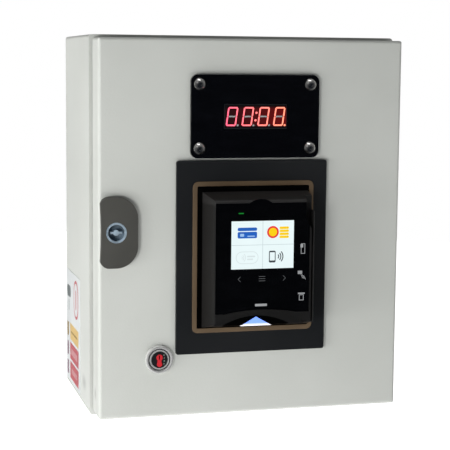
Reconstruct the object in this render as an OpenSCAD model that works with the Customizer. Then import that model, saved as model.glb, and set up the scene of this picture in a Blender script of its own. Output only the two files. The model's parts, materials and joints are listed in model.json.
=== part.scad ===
// Wall-mounted parking pay station: a folded sheet-steel enclosure with a hinged door that carries
// a digital clock, a card reader, a quarter-turn lock and a key switch.
// Frame: origin at the centre of the rear (wall) face, +X right and +Z up as seen from the front,
// +Y into the wall. The door faces -Y.

/* [Enclosure] */
// Width of the enclosure body
body_w = 250; // [248:1:256]
// Height of the enclosure body
body_h = 300; // [298:1:310]
// Depth of the body, from the wall face to the front rim
body_d = 124.5; // [120:0.5:130]
// Thickness of the sheet steel
sheet = 1.5; // [1.2:0.1:1.6]
// Outside radius of the bends
bend_r = 2.5; // [2:0.1:3]
// Width of the door opening between the sealing lips
opening_w = 185; // [184:1:186]
// Height of the door opening between the sealing lips
opening_h = 253; // [252:1:254]
// How far the sealing lip stands forward of the rim
lip_d = 21.2; // [20:0.1:21.5]
// Radius of the wall fixing holes
wall_hole_r = 4.25; // [3:0.25:5]
// Spacing of the wall fixing holes across
wall_hole_dx = 222; // [218:1:224]
// Spacing of the wall fixing holes upwards
wall_hole_dz = 272; // [268:1:274]

/* [Door] */
// How far the door stands in from the body's outline on every side
door_inset = 2.5; // [2:0.1:3]
// Gap between the rim and the door's rear edge
door_gap = 2.5; // [2.3:0.1:2.8]
// Depth of the door's folded sides
door_d = 25.5; // [25:0.1:26]
// Width of the foamed gasket
gasket_w = 10; // [8:0.5:10]
// Height of the foamed gasket
gasket_t = 5; // [4:0.1:5]

/* [Hinges] */
// Distance of the hinge axis to the right of the centre
hinge_x = 117; // [116.9:0.1:117.1]
// Height of the two hinges above and below the centre
hinge_z = 100; // [80:1:105]
// Radius of the hinge pins
pin_r = 2; // [1.8:0.1:2]

/* [Clock] */
// Width of the clock window
window_w = 103.5; // [102:0.5:106]
// Height of the clock window
window_h = 64.5; // [63:0.5:66]
// Thickness of the clock window and of the reader plate
panel_t = 3; // [2.5:0.1:3.5]
// Spacing of the window screws across
window_screw_dx = 89.5; // [88:0.5:90]
// Spacing of the window screws upwards
window_screw_dz = 49.5; // [48:0.5:50]

/* [Card reader] */
// Width of the reader's black bezel plate
bezel_w = 121.6; // [118:0.2:124]
// Height of the reader's black bezel plate
bezel_h = 151.6; // [148:0.2:154]
// How far the reader's front stands out from the bezel plate
reader_d = 21; // [20:0.5:22]
// How much each bevelled side of the reader leans in
reader_taper = 5.7; // [5:0.1:6]

/* [Hidden] */
$fn = 64;
fit = 0.1;
overlap = 1;
rim_y = -body_d;
door_back_y = rim_y - door_gap;
face_y = door_back_y - door_d;
inner_y = face_y + sheet;
panel_y = face_y - panel_t;
door_w = body_w - 2 * door_inset;
door_h = body_h - 2 * door_inset;
lip_tip_y = rim_y - lip_d;
hinge_y = face_y + 12;
knuckle_r = 3.5;
knuckle_half = 5;
leaf_half = 15;
lip_x = opening_w / 2 + sheet;

// two small jig notches in the top front edge of the body
rim_notch_xs = [-72, 80];
rim_notch_w = 7;

// gland plate in the floor
floor_z = -body_h / 2;
gland_open = [120, 64];
gland_y = -42;
gland_xs = [-24, 24];
gland_r = 10;
gland_bore_r = 6.5;
gland_pad_t = 2;
gland_plate_t = 2;
gland_screw_dx = 132;
gland_screw_dy = 60;
gland_mid_y = -46;

// mounting plate and rail
mplate = [200, 262, 2];
mplate_y = -16;
stud_dx = 180;
stud_dz = 242;
stud_r = 4;
rail_l = 184;
rail_z = 28;
rail_w = 35;
rail_d = 7.5;
rail_t = 1;
rail_y = mplate_y - mplate[2];
device_y = rail_y - rail_d;

// lock
lock_x = -109.3;
lock_z = -0.8;
escutcheon_t = 4.5;
escutcheon_h = 55;
insert_r = 8;
cam_y = -135.7;
cam_t = 2.5;
cam_reach = 12.2;

// key switch
key_x = -75;
key_z = -101.3;
key_ring_r = 11.2;
key_face_r = 6.5;
key_body_r = 9;

// clock
clock_x = 0.6;
clock_z = 87.7;
led_w = 50.3;
led_h = 19;
led_d = 8;
led_gap = 0.35;
led_y = panel_y + 0.2;
board_t = 1.6;

// card reader
reader_x = -0.4;
plate_x = -1.3;
plate_z = -22.2;
seal_w = 98;
seal_h = 119;
seal_z = -21.9;
seal_band = 3.7;
seal_t = 0.8;
base_x0 = -42.8;
base_x1 = 43.3;
base_z0 = -77.3;
base_z1 = 30.3;
front_y = panel_y - reader_d;
glass_y = front_y + 0.8;
glass_t = 1.5;
glass_x0 = -36.2;
glass_x1 = 39.6;
glass_z1 = 22.3;
screen_x = 1.5;
screen_z = -10.2;
swipe_x = 41;
swipe_gap = 1.2;
swipe_d = 8.5;
tub_x = 38.3;
tub_z0 = -72;
tub_z1 = 25;
tub_y = -112;
reader_stud_x = 42.6;
reader_stud_zs = [28, -72];

// ---------- shared shapes ----------

// Extrudes a shape drawn in X and Z between two Y planes
module slab(y0, y1) {
    translate([0, y1, 0]) rotate([90, 0, 0]) linear_extrude(y1 - y0) children();
}

// Round bar along Y
module bar_y(x, z, r, y0, y1) {
    translate([x, y0, z]) rotate([-90, 0, 0]) cylinder(r = r, h = y1 - y0);
}

// Round bar along Z
module bar_z(x, y, r, z0, z1) {
    translate([x, y, z0]) cylinder(r = r, h = z1 - z0);
}

// Hexagonal bar along Y with a width across flats
module hex_y(x, z, flats, y0, y1) {
    translate([x, y0, z]) rotate([-90, 0, 0]) cylinder(r = flats / sqrt(3), h = y1 - y0, $fn = 6);
}

// Block given by its low and high corners
module block(lo, hi) {
    translate(lo) cube(hi - lo);
}

module rounded_rect(w, h, r) {
    square([w - 2 * r, h], center = true);
    square([w, h - 2 * r], center = true);
    for (sx = [-1, 1], sz = [-1, 1])
        translate([sx * (w / 2 - r), sz * (h / 2 - r)]) circle(r);
}

module ring_rect(w, h, r, band) {
    difference() {
        rounded_rect(w, h, r);
        rounded_rect(w - 2 * band, h - 2 * band, max(r - band, 0.4));
    }
}

// Outline of a panel whose two side edges are bent back with radius r
module bent_profile(w, d, r) {
    translate([-w / 2, r]) square([w, d - r]);
    translate([-w / 2 + r, 0]) square([w - 2 * r, d]);
    for (s = [-1, 1]) translate([s * (w / 2 - r), r]) circle(r);
}

module bent_bar(w, d, r, l) {
    translate([0, 0, -l / 2]) linear_extrude(l) bent_profile(w, d, r);
}

// Block with its face at y = 0 and all four face edges bent, reaching to y = d
module folded_solid(w, h, d, r) {
    intersection() {
        slab(0, d) rounded_rect(w, h, r);
        bent_bar(w, d, r, h);
        rotate([0, 90, 0]) bent_bar(h, d, r, w);
    }
}

// Tube of radius r along a list of points, as one closed mesh with a ring of sides at each point
function unit(v) = v / norm(v);
function heading(path, i) =
    unit(path[min(i + 1, len(path) - 1)] - path[max(i - 1, 0)]);
function side_of(t) = unit(cross(t, abs(t[0]) < 0.9 ? [1, 0, 0] : [0, 1, 0]));
function ring_point(p, t, r, a) =
    p + r * (cos(a) * side_of(t) + sin(a) * cross(t, side_of(t)));

module tube_along(path, r, sides) {
    n = len(path);
    points = [
        for (i = [0 : n - 1], k = [0 : sides - 1])
            ring_point(path[i], heading(path, i), r, -360 * k / sides)
    ];
    walls = [
        for (i = [0 : n - 2], k = [0 : sides - 1])
            [i * sides + k, i * sides + (k + 1) % sides,
             (i + 1) * sides + (k + 1) % sides, (i + 1) * sides + k]
    ];
    first = [for (k = [sides - 1 : -1 : 0]) k];
    last = [for (k = [0 : sides - 1]) (n - 1) * sides + k];
    polyhedron(points, concat([first, last], walls));
}

// Smooth route through four control points
function bezier(a, b, c, d, t) =
    pow(1 - t, 3) * a + 3 * pow(1 - t, 2) * t * b + 3 * (1 - t) * pow(t, 2) * c + pow(t, 3) * d;
function route(a, b, c, d, steps) = [for (i = [0 : steps]) bezier(a, b, c, d, i / steps)];

// ---------- enclosure ----------

module enclosure_body() {
    color("#cfd1ca") difference() {
        union() {
            difference() {
                mirror([0, 1, 0]) folded_solid(body_w, body_h, body_d, bend_r);
                translate([0, -sheet, 0]) mirror([0, 1, 0])
                    folded_solid(body_w - 2 * sheet, body_h - 2 * sheet, body_d, bend_r - sheet);
            }
            slab(rim_y, rim_y + sheet) difference() {
                rounded_rect(body_w, body_h, bend_r);
                square([opening_w, opening_h], center = true);
            }
            slab(lip_tip_y, rim_y + sheet)
                ring_rect(opening_w + 2 * sheet, opening_h + 2 * sheet, 4, sheet);
        }
        for (sx = [-1, 1], sz = [-1, 1])
            bar_y(sx * wall_hole_dx / 2, sz * wall_hole_dz / 2, wall_hole_r, -sheet - 1, 1);
        block([-gland_open[0] / 2, gland_mid_y - gland_open[1] / 2 + 8, floor_z - 1],
              [gland_open[0] / 2, gland_mid_y + gland_open[1] / 2 - 8, floor_z + 2 * sheet]);
        gland_screw_places() cylinder(r = 2.1, h = 10, center = true);
        for (x = rim_notch_xs)
            block([x - rim_notch_w / 2, rim_y - 1, body_h / 2 - 0.9],
                  [x + rim_notch_w / 2, rim_y + 1.2, body_h / 2 + 1]);
    }
}

module gland_screw_places() {
    for (sx = [-1, 1], sy = [-1, 1])
        translate([sx * gland_screw_dx / 2, gland_mid_y + sy * gland_screw_dy / 2, floor_z])
            children();
}

module gland_sheet(z0, z1, hole_r) {
    difference() {
        translate([0, gland_mid_y, z0]) linear_extrude(z1 - z0) rounded_rect(144, 72, 4);
        for (x = gland_xs) bar_z(x, gland_y, hole_r, z0 - 1, z1 + 1);
        gland_screw_places() cylinder(r = 2.1, h = 30, center = true);
    }
}

gland_pad_z = floor_z + sheet;
gland_plate_z = gland_pad_z + gland_pad_t;
gland_top_z = gland_plate_z + gland_plate_t;

module gland_plate_seal() {
    color("#2a2a2a") difference() {
        gland_sheet(gland_pad_z, gland_plate_z, gland_r);
        block([-54, gland_mid_y - 20, gland_pad_z - 1], [54, gland_mid_y + 20, gland_plate_z + 1]);
    }
}

module gland_plate() {
    color("#c4c6c4") gland_sheet(gland_plate_z, gland_top_z, gland_r);
}

module gland_plate_screws() {
    color("silver") gland_screw_places() {
        translate([0, 0, -1]) cylinder(r = 2, h = gland_top_z - floor_z + 1);
        translate([0, 0, gland_top_z - floor_z]) difference() {
            cylinder(r = 4, h = 3);
            translate([0, 0, 1.5]) cube([1, 6, 3.2], center = true);
        }
    }
}

module gland_bodies() {
    color("#4a4d50") for (x = gland_xs) difference() {
        union() {
            bar_z(x, gland_y, gland_r - 0.05, gland_plate_z - 4, gland_top_z + 7);
            translate([x, gland_y, gland_plate_z - 9.5])
                cylinder(r = 14, h = 9.5, $fn = 6);
            bar_z(x, gland_y, 10.5, floor_z - 12, gland_plate_z - 9);
        }
        bar_z(x, gland_y, gland_bore_r + 1.5, floor_z - 13, gland_top_z + 8);
    }
}

module gland_caps() {
    cap_z0 = floor_z - 22;
    color("#44474a") for (x = gland_xs) translate([x, gland_y, 0]) rotate_extrude() polygon([
        [gland_bore_r, cap_z0], [11, cap_z0], [13, cap_z0 + 3], [13, floor_z - 6.4],
        [10.6, floor_z - 6.4], [10.6, floor_z - 12], [gland_bore_r + 1.6, floor_z - 12],
        [gland_bore_r + 1.6, cap_z0 + 3], [gland_bore_r, cap_z0 + 3]
    ]);
}

module gland_seals() {
    color("#1f1f1f") for (x = gland_xs) difference() {
        bar_z(x, gland_y, gland_bore_r + 1.5, floor_z - 18.5, gland_plate_z - 2);
        bar_z(x, gland_y, gland_bore_r, floor_z - 20, gland_plate_z);
    }
}

module gland_locknuts() {
    color("#4a4d50") for (x = gland_xs) difference() {
        translate([x, gland_y, gland_top_z]) cylinder(r = 14, h = 5, $fn = 6);
        bar_z(x, gland_y, gland_r, gland_top_z - 1, gland_top_z + 6);
    }
}

module side_label() {
    color("#f2f2ef") block([-body_w / 2 - 0.25, -77, -145.5], [-body_w / 2, -3, -49]);
}

// ---------- inside the body ----------

module stud_places() {
    for (sx = [-1, 1], sz = [-1, 1]) translate([sx * stud_dx / 2, 0, sz * stud_dz / 2]) children();
}

module mounting_studs() {
    color("silver") stud_places() {
        bar_y(0, 0, stud_r, mplate_y - 13, -sheet);
        bar_y(0, 0, 6.5, mplate_y, -sheet);
    }
}

module mounting_plate() {
    color("#d9dbd8") difference() {
        slab(rail_y, mplate_y) rounded_rect(mplate[0], mplate[1], 3);
        stud_places() bar_y(0, 0, stud_r, rail_y - 1, mplate_y + 1);
    }
}

module mounting_nuts() {
    color("silver") stud_places() difference() {
        union() {
            bar_y(0, 0, 8.5, rail_y - 1.6, rail_y);
            hex_y(0, 0, 13, rail_y - 8, rail_y - 1.5);
        }
        bar_y(0, 0, stud_r, rail_y - 9, rail_y + 1);
    }
}

// Top-hat rail: a channel fixed to the plate with two flanges standing forward
module din_rail() {
    half = rail_w / 2;
    inner = 27 / 2;
    color("#bfc3c6") difference() {
        union() {
            block([-rail_l / 2, rail_y - rail_t, rail_z - inner], [rail_l / 2, rail_y, rail_z + inner]);
            for (s = [0, 1]) translate([0, 0, rail_z]) mirror([0, 0, s]) {
                block([-rail_l / 2, device_y, inner - rail_t], [rail_l / 2, rail_y, inner]);
                block([-rail_l / 2, device_y, inner - rail_t], [rail_l / 2, device_y + rail_t, half]);
            }
        }
        for (s = [-1, 1]) bar_y(s * 80, rail_z, 2.6, rail_y - 3, rail_y + 1);
    }
}

module rail_screws() {
    color("silver") for (s = [-1, 1]) {
        bar_y(s * 80, rail_z, 2.5, rail_y - 2, rail_y);
        difference() {
            bar_y(s * 80, rail_z, 4.6, rail_y - rail_t - 3, rail_y - rail_t);
            for (turn = [0, 90]) translate([s * 80, rail_y - rail_t - 3, rail_z])
                rotate([0, turn, 0]) cube([1, 3, 5], center = true);
        }
    }
}

// A rail-mounted device: a body in front of the rail with a stepped nose
module device(x0, x1, h, depth, nose_h, nose_d) {
    block([x0, device_y - depth, rail_z - h / 2], [x1, device_y, rail_z + h / 2]);
    block([x0, device_y - depth - nose_d, rail_z - nose_h / 2],
          [x1, device_y - depth + overlap, rail_z + nose_h / 2]);
}

module power_supply_case() {
    color("#9aa0a3") difference() {
        device(-86, -34, 90, 44, 62, 10);
        for (k = [0 : 9]) block([-81 + 4.4 * k, device_y - 56, rail_z - 12],
                                [-79 + 4.4 * k, device_y - 52, rail_z + 18]);
        for (s = [-1, 1]) block([-82, device_y - 46, rail_z + s * 38 - 5],
                                [-38, device_y - 30, rail_z + s * 38 + 5]);
    }
}

module power_supply_terminals() {
    color("#3f6b4f") for (s = [-1, 1]) difference() {
        block([-81.5, device_y - 43, rail_z + s * 38 - 4.6], [-38.5, device_y - 30, rail_z + s * 38 + 4.6]);
        for (k = [0 : 4]) bar_y(-76 + 8 * k, rail_z + s * 38, 2.4, device_y - 45, device_y - 36);
    }
}

toggle_x = -20;
toggle_y = device_y - 50;

module circuit_breaker() {
    color("#e6e6e2") difference() {
        device(-29, -11, 84, 44, 45, 16);
        block([toggle_x - 5, toggle_y - 12, rail_z - 14], [toggle_x + 5, toggle_y + 9, rail_z + 14]);
        for (s = [-1, 1]) bar_y(toggle_x, rail_z + s * 34, 3, device_y - 46, device_y - 38);
        translate([toggle_x - 7, toggle_y, rail_z]) rotate([0, 90, 0]) cylinder(r = 1.5, h = 14);
    }
}

module breaker_toggle() {
    color("#1f3f8a") {
        translate([toggle_x - 4.6, toggle_y, rail_z]) rotate([0, 90, 0]) cylinder(r = 8, h = 9.2);
        translate([toggle_x - 6.9, toggle_y, rail_z]) rotate([0, 90, 0]) cylinder(r = 1.44, h = 13.8);
        translate([toggle_x, toggle_y, rail_z]) rotate([-30, 0, 0])
            block([-3.6, -16, -2.2], [3.6, 0, 2.2]);
    }
}

module controller_base() {
    color("#2f3336") difference() {
        block([-6, device_y - 34, rail_z - 45], [48, device_y, rail_z + 45]);
        for (s = [-1, 1], k = [0 : 7])
            bar_y(-0.5 + 6.2 * k, rail_z + s * 40, 2, device_y - 35, device_y - 28);
    }
}

module controller_cover() {
    color("#dfe2e0") difference() {
        block([-5, device_y - 54, rail_z - 34], [47, device_y - 34, rail_z + 34]);
        block([5, device_y - 55, rail_z - 12], [37, device_y - 53, rail_z + 14]);
        for (k = [0 : 5]) bar_y(5 + 6.4 * k, rail_z - 22, 1.5, device_y - 55, device_y - 52);
    }
}

module terminal_blocks() {
    color("#b9beb9") for (k = [0 : 4]) difference() {
        block([58 + 5.2 * k, device_y - 38, rail_z - 24], [63 + 5.2 * k, device_y, rail_z + 24]);
        for (s = [-1, 1]) bar_y(60.5 + 5.2 * k, rail_z + s * 15, 1.7, device_y - 39, device_y - 30);
    }
}

module end_stops() {
    color("#d8d4c6") for (x = [50.5, 84.4]) difference() {
        block([x, device_y - 30, rail_z - 22], [x + 7, device_y, rail_z + 22]);
        bar_y(x + 3.5, rail_z, 2, device_y - 31, device_y - 24);
    }
}

module earth_stud() {
    color("#c8a24a") translate([78, 0, -104]) {
        bar_y(0, 0, 3, rail_y - 16, rail_y);
        difference() {
            union() {
                bar_y(0, 0, 6, rail_y - 1.6, rail_y);
                hex_y(0, 0, 10, rail_y - 7, rail_y - 1.5);
            }
            bar_y(0, 0, 3, rail_y - 8, rail_y + 1);
        }
    }
}

// Catch on the sealing lip that the lock's cam turns behind
module latch_keeper() {
    color("#b9bdbf") {
        block([-102, -137.5, lock_z - 13], [-lip_x, -136, lock_z + 13]);
        block([-lip_x - 1.5, -137.5, lock_z - 13], [-lip_x, rim_y - 2, lock_z + 13]);
    }
}

// ---------- hinges ----------

module hinge_places() {
    for (s = [-1, 1]) translate([hinge_x, hinge_y, s * hinge_z]) children();
}

// Goose-neck leaf: foot on the lip, arm round the door's folded edge, knuckle on the pin
module hinge_body_leaves() {
    foot_x = lip_x - hinge_x;
    arm_y = [-4.3, -1.8];
    color("#a9adaf") hinge_places() difference() {
        union() {
            block([foot_x, arm_y[0], -knuckle_half], [0, arm_y[1], knuckle_half]);
            block([foot_x, arm_y[0], -12], [foot_x + 2.5, rim_y - 1 - hinge_y, 12]);
            bar_z(0, 0, knuckle_r, -knuckle_half, knuckle_half);
        }
        bar_z(0, 0, pin_r, -leaf_half, leaf_half);
        for (s = [-1, 1]) translate([foot_x - 1, 4, s * 8]) rotate([0, 90, 0]) cylinder(r = 1.6, h = 5);
    }
}

module hinge_pins() {
    color("silver") hinge_places() {
        bar_z(0, 0, pin_r, -leaf_half - 0.5, leaf_half + 0.5);
        bar_z(0, 0, pin_r + 1.2, leaf_half + 0.3, leaf_half + 1.3);
    }
}

module hinge_door_leaves() {
    base_y = inner_y - hinge_y;
    color("#a9adaf") hinge_places() difference() {
        union() {
            block([-11.5, base_y, -leaf_half], [3.5, base_y + 2, leaf_half]);
            for (s = [0, 1]) mirror([0, 0, s]) {
                block([-1.5, base_y + 1, knuckle_half + 0.3], [1.5, 0, leaf_half]);
                bar_z(0, 0, knuckle_r, knuckle_half + 0.3, leaf_half);
            }
        }
        bar_z(0, 0, pin_r + 0.08, -leaf_half - 1, leaf_half + 1);
        for (s = [-1, 1]) bar_y(-6.5, s * 9, 1.6, base_y - 1, base_y + 3);
    }
}

// ---------- door ----------

module door() {
    color("#cfd1ca") difference() {
        translate([0, face_y, 0]) folded_solid(door_w, door_h, door_d, bend_r);
        translate([0, inner_y, 0])
            folded_solid(door_w - 2 * sheet, door_h - 2 * sheet, door_d, bend_r - sheet);
        bar_y(lock_x, lock_z, insert_r + 1, face_y - 1, inner_y + 1);
        bar_y(key_x, key_z, key_body_r, face_y - 1, inner_y + 1);
        slab(face_y - 1, inner_y + 1) {
            translate([clock_x, clock_z]) rounded_rect(led_w + 4, led_h + 4, 2);
            translate([reader_x, (tub_z0 + tub_z1) / 2])
                rounded_rect(2 * tub_x + 1, tub_z1 - tub_z0 + 1, 3);
        }
        clock_screw_places() bar_y(0, 0, 2.5, face_y - 1, inner_y + 1);
        reader_stud_places() bar_y(0, 0, 1.5, face_y - 1, inner_y + 1);
    }
}

module door_gasket() {
    color("#3a3b3b") slab(inner_y, inner_y + gasket_t)
        ring_rect(opening_w + sheet + gasket_w, opening_h + sheet + gasket_w, 9, gasket_w);
}

// ---------- quarter-turn lock ----------

// Half-moon outline: flat ends, a big round on the right and a slightly hollow left edge
module half_moon() {
    h = escutcheon_h / 2;
    x0 = -12.5;
    x1 = 16.9;
    big = 17;
    small = 7;
    difference() {
        union() {
            translate([x0 + small, -h]) square([x1 - big - x0 - small, 2 * h]);
            translate([x0, -h + small]) square([small + overlap, 2 * (h - small)]);
            translate([x1 - big - overlap, -h + big]) square([big + overlap, 2 * (h - big)]);
            for (s = [-1, 1]) {
                translate([x0 + small, s * (h - small)]) circle(small);
                translate([x1 - big, s * (h - big)]) circle(big);
            }
        }
        translate([x0 - 299, 0]) circle(300, $fn = 360);
    }
}

module lock_escutcheon() {
    color("#55554e") difference() {
        slab(face_y - escutcheon_t, face_y) translate([lock_x, lock_z]) half_moon();
        bar_y(lock_x, lock_z, insert_r + fit, face_y - escutcheon_t - 1, face_y + 1);
    }
}

module lock_housing() {
    color("#8f9394") difference() {
        bar_y(lock_x, lock_z, insert_r + 1, face_y, -139.8);
        bar_y(lock_x, lock_z, insert_r + fit, face_y - 1, -142);
        bar_y(lock_x, lock_z, 6.1, face_y - 1, -139);
    }
}

module lock_retainer() {
    color("#a9adaf") slab(inner_y, inner_y + 1.5) difference() {
        translate([lock_x - 0.4, lock_z]) rounded_rect(21, 34, 2);
        translate([lock_x, lock_z]) circle(insert_r + 1);
    }
}

// Rotor with a dished face, a double-bit key post and a square shank for the cam
module lock_insert() {
    front = face_y - escutcheon_t - 0.1;
    color("#aeb9c2") {
        difference() {
            union() {
                bar_y(lock_x, lock_z, insert_r, front, -142.3);
                bar_y(lock_x, lock_z, 6, -142.4, -139.5);
                bar_y(lock_x, lock_z, 3, cam_y, -126.6);
                block([lock_x - 4, -139.6, lock_z - 4], [lock_x + 4, cam_y + cam_t, lock_z + 4]);
            }
            bar_y(lock_x, lock_z, 6.4, front - 1, front + 7);
        }
        bar_y(lock_x, lock_z, 2.3, front + 1.2, front + 7.5);
        block([lock_x - 4.6, front + 1.2, lock_z - 0.8], [lock_x + 4.6, front + 7.5, lock_z + 0.8]);
    }
}

module lock_cam() {
    color("#b9bdbf") slab(cam_y, cam_y + cam_t) translate([lock_x, lock_z]) difference() {
        union() {
            circle(7.5);
            translate([-5, 0]) square([10, cam_reach]);
        }
        square(8, center = true);
    }
}

module lock_cam_nut() {
    color("silver") difference() {
        hex_y(lock_x, lock_z, 10, cam_y + cam_t, cam_y + cam_t + 5);
        bar_y(lock_x, lock_z, 3, cam_y, cam_y + cam_t + 6);
    }
}

// ---------- key switch ----------

module key_switch_bezel() {
    y = face_y;
    bore = key_face_r + fit;
    color("#d7d9db") translate([key_x, 0, key_z]) rotate([-90, 0, 0]) rotate_extrude() polygon([
        [bore, y - 2.6], [bore + 1.1, y - 2.6], [bore + 1.4, y - 2.0], [8.7, y - 2.0],
        [9.2, y - 3.2], [9.8, y - 3.4], [10.6, y - 2.9], [key_ring_r, y - 1.6], [key_ring_r, y],
        [key_body_r, y], [key_body_r, y + 22], [bore, y + 22]
    ]);
}

module key_switch_contacts() {
    back = face_y + 22;
    color("#26282a") {
        block([key_x - 8.5, back, key_z - 10], [key_x + 8.5, back + 16, key_z + 10]);
        for (sx = [-1, 1], sz = [-1, 1]) translate([key_x + sx * 4, 0, key_z + sz * 5])
            block([-1.4, back + 16, -0.4], [1.4, back + 22, 0.4]);
    }
}

module keyhole_outline(grow) {
    circle(2.5 + grow);
    translate([-1.6 - grow, -5.6 - grow]) square([3.2 + 2 * grow, 5]);
    translate([0, -5.2]) circle(2.1 + grow);
}

module key_barrel() {
    color("#17181a") difference() {
        bar_y(key_x, key_z, key_face_r, face_y - 2.2, face_y + 21.8);
        slab(face_y - 3, face_y + 2) translate([key_x, key_z + 1.6]) keyhole_outline(0);
    }
}

module keyway_insert() {
    color("#c8202a") slab(face_y - 2.6, face_y + 2) translate([key_x, key_z + 1.6]) difference() {
        keyhole_outline(0);
        square([1, 3.2], center = true);
    }
}

// ---------- clock ----------

module clock_screw_places() {
    for (sx = [-1, 1], sz = [-1, 1])
        translate([clock_x + sx * window_screw_dx / 2, 0, clock_z + sz * window_screw_dz / 2])
            children();
}

module clock_window() {
    color("#0b0c0e") difference() {
        slab(panel_y, face_y) translate([clock_x, clock_z]) rounded_rect(window_w, window_h, 5.5);
        slab(panel_y - 1, face_y + 1) translate([clock_x, clock_z])
            square([led_w + 2 * led_gap, led_h + 2 * led_gap], center = true);
        clock_screw_places() bar_y(0, 0, 2.5, panel_y - 1, face_y + 1);
    }
}

// Button-head screws with a hexagon socket
module clock_screws() {
    head_r = 4.75;
    head_h = 2.7;
    dome_r = (head_r * head_r + head_h * head_h) / (2 * head_h);
    color("#c9cdd0") clock_screw_places() {
        bar_y(0, 0, 2.5, panel_y, inner_y + 10);
        difference() {
            intersection() {
                bar_y(0, 0, head_r, panel_y - head_h, panel_y);
                translate([0, panel_y - head_h + dome_r, 0]) sphere(dome_r);
            }
            hex_y(0, 0, 3, panel_y - head_h - 1, panel_y - 1);
        }
    }
}

// Nuts behind the door panel: four for the window, four for the reader, one for the key switch
module panel_nuts() {
    color("silver") {
        clock_screw_places() difference() {
            union() {
                bar_y(0, 0, 5, inner_y, inner_y + 1);
                hex_y(0, 0, 8, inner_y + 0.9, inner_y + 5);
            }
            bar_y(0, 0, 2.5, inner_y - 1, inner_y + 6);
        }
        reader_stud_places() difference() {
            hex_y(0, 0, 5.5, inner_y, inner_y + 3);
            bar_y(0, 0, 1.5, inner_y - 1, inner_y + 4);
        }
        difference() {
            hex_y(key_x, key_z, 21, inner_y, inner_y + 4);
            bar_y(key_x, key_z, key_body_r, inner_y - 1, inner_y + 5);
        }
    }
}

module clock_led_module() {
    color("#d9d4cf") block([clock_x - led_w / 2, led_y, clock_z - led_h / 2],
                           [clock_x + led_w / 2, board_y, clock_z + led_h / 2]);
}

board_y = led_y + led_d;

module standoff_places() {
    for (sx = [-1, 1], sz = [-1, 1]) translate([clock_x + sx * 33, 0, clock_z + sz * 17]) children();
}

module clock_board() {
    color("#1f5f3a") difference() {
        union() {
            slab(board_y, board_y + board_t) translate([clock_x, clock_z]) rounded_rect(76, 44, 2);
            block([clock_x - 30, board_y + board_t, clock_z - 18],
                  [clock_x - 18, board_y + board_t + 8, clock_z + 6]);
            block([clock_x + 4, board_y + board_t, clock_z - 6],
                  [clock_x + 14, board_y + board_t + 2, clock_z + 4]);
        }
        standoff_places() bar_y(0, 0, 1.5, board_y - 1, board_y + board_t + 1);
    }
}

module clock_standoffs() {
    color("#c8a24a") standoff_places() {
        bar_y(0, 0, 2.9, inner_y, board_y);
        bar_y(0, 0, 1.5, board_y, board_y + board_t);
        bar_y(0, 0, 2.8, board_y + board_t, board_y + board_t + 2);
    }
}

// ---------- card reader ----------

module reader_stud_places() {
    for (sx = [-1, 1], z = reader_stud_zs) translate([reader_x + sx * reader_stud_x, 0, z]) children();
}

module tub_outline(grow) {
    translate([reader_x, (tub_z0 + tub_z1) / 2])
        rounded_rect(2 * (tub_x + grow), tub_z1 - tub_z0 + 2 * grow, 3);
}

module reader_bezel_plate() {
    color("#1d1f21") difference() {
        slab(panel_y, face_y) difference() {
            translate([plate_x, plate_z]) rounded_rect(bezel_w, bezel_h, 1.8);
            tub_outline(0.5);
        }
        reader_stud_places() bar_y(0, 0, 1.5, panel_y - 1, face_y + 1);
    }
}

module reader_seal() {
    color("#6b5846") slab(panel_y - seal_t, panel_y) translate([reader_x, seal_z])
        ring_rect(seal_w, seal_h, 4.5, seal_band);
}

// Outline of the window in the reader's front: a bump at the top and an arched foot
module glass_outline(inset) {
    arch_r = 148;
    arch_z = -60.7;
    difference() {
        union() {
            translate([glass_x0 + inset, -76])
                square([glass_x1 - glass_x0 - 2 * inset, glass_z1 + 76 - inset]);
            translate([0, 10.4]) circle(15 - inset);
        }
        translate([0.5, arch_z - arch_r]) circle(arch_r + inset, $fn = 360);
        translate([30, -100]) square([20, 36.5 + inset]);
        translate([-50, -100]) square([20, 36.5 + inset]);
        swipe_flare(inset);
    }
}

// The swipe track widens to the left at its upper end
module swipe_flare(grow) {
    polygon([
        [36.6 - grow, 40], [36.6 - grow, 10], [swipe_x - 0.2 - grow, 2], [50, 2], [50, 40]
    ]);
}

// Bevelled front housing on a thin flange, straight on the swipe side
module reader_hull() {
    intersection() {
        translate([0, 0, base_z0]) linear_extrude(base_z1 - base_z0) polygon([
            [base_x0, panel_y], [base_x0 + reader_taper, front_y + 1],
            [base_x0 + reader_taper + 1, front_y], [base_x1 - 0.6, front_y],
            [base_x1, front_y + 0.6], [base_x1, panel_y]
        ]);
        rotate([90, 0, 90]) translate([0, 0, base_x0]) linear_extrude(base_x1 - base_x0) polygon([
            [panel_y, base_z0], [front_y, base_z0 + 6], [front_y, base_z1 - reader_taper - 1],
            [front_y + 1, base_z1 - reader_taper], [panel_y, base_z1]
        ]);
    }
    slab(panel_y - 0.5, panel_y) translate([reader_x, seal_z])
        rounded_rect(seal_w - 2 * seal_band - 0.2, seal_h - 2 * seal_band - 0.2, 1.2);
}

// Recess under the front lip, in front of the chip-card slot
module slot_recess() {
    arch_r = 91.7;
    lip_z = -63.5;
    intersection() {
        slab(front_y - 1, front_y + 12) translate([0.5, lip_z - arch_r]) circle(arch_r, $fn = 360);
        block([-36, front_y - 2, -90], [38, front_y + 12, -60]);
    }
}

card_y = front_y + 6.8;
card_t = 1.2;
card_half = 27.6;

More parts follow.
